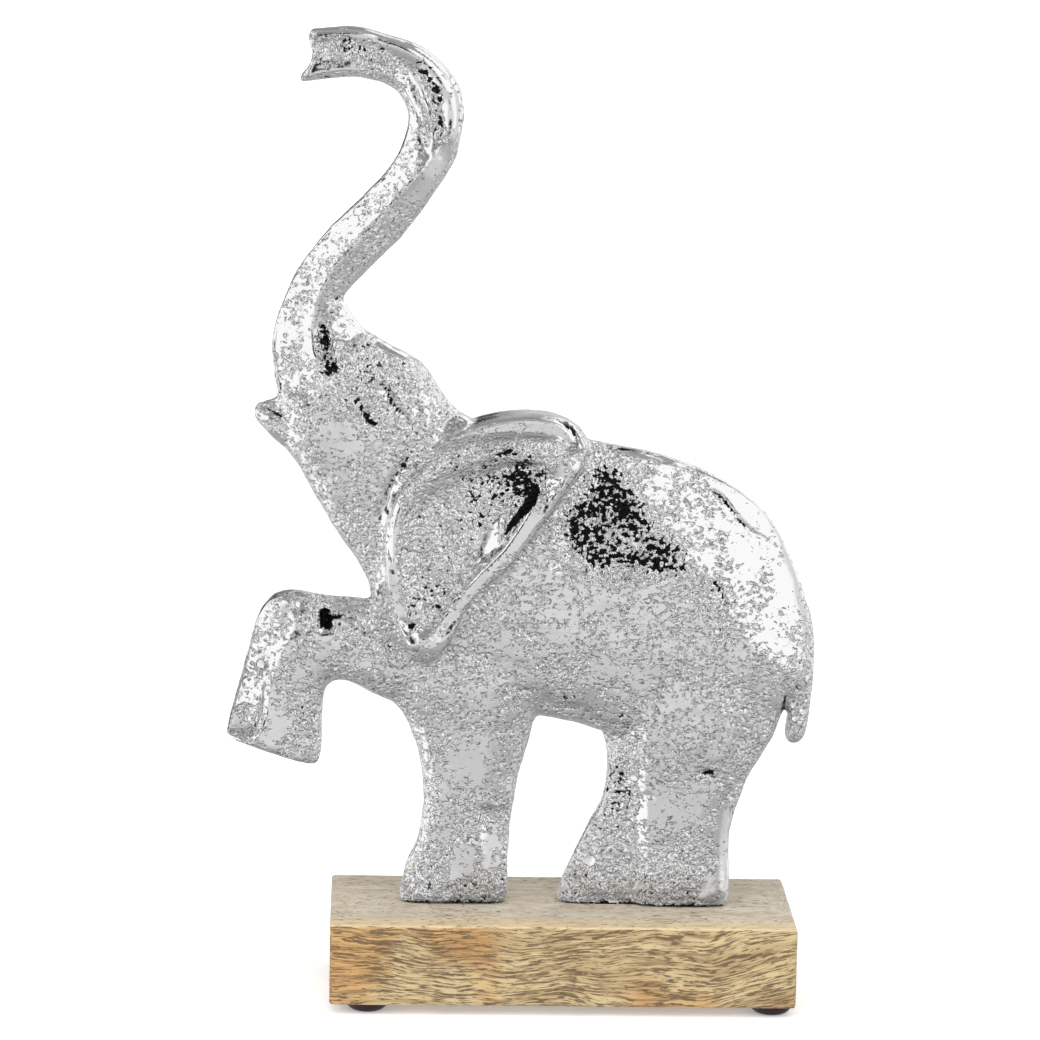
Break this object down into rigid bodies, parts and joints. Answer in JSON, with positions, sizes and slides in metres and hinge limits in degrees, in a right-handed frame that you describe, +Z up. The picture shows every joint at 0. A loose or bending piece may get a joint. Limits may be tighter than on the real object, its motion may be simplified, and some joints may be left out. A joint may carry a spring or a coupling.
{
  "type": "aluminium elephant figurine",
  "caption": "Sand-cast aluminium elephant with its trunk raised over its head and one front leg lifted, on a rectangular wooden block with domed rubber feet. It stands by its own weight.",
  "frame": {"origin": "middle of the whole object's box in plan, on the surface that the four feet stand on", "axes": "+Z up; the animal faces -X; the broad face that the picture shows looks along -Y"},
  "size_m": [0.1798, 0.06, 0.2976],
  "materials": {
    "cast_aluminium": "bright polished sand casting with scattered fine pits",
    "light_wood": "sanded light brown wood with short dark pores and a matt oiled surface",
    "dark_rubber": "smooth dark brown rubber"
  },
  "bodies": {
    "root": {"elephant": "cast_aluminium", "wood_base": "light_wood", "foot_front_left": "dark_rubber", "foot_front_right": "dark_rubber", "foot_back_left": "dark_rubber", "foot_back_right": "dark_rubber"}
  },
  "joints": []
}
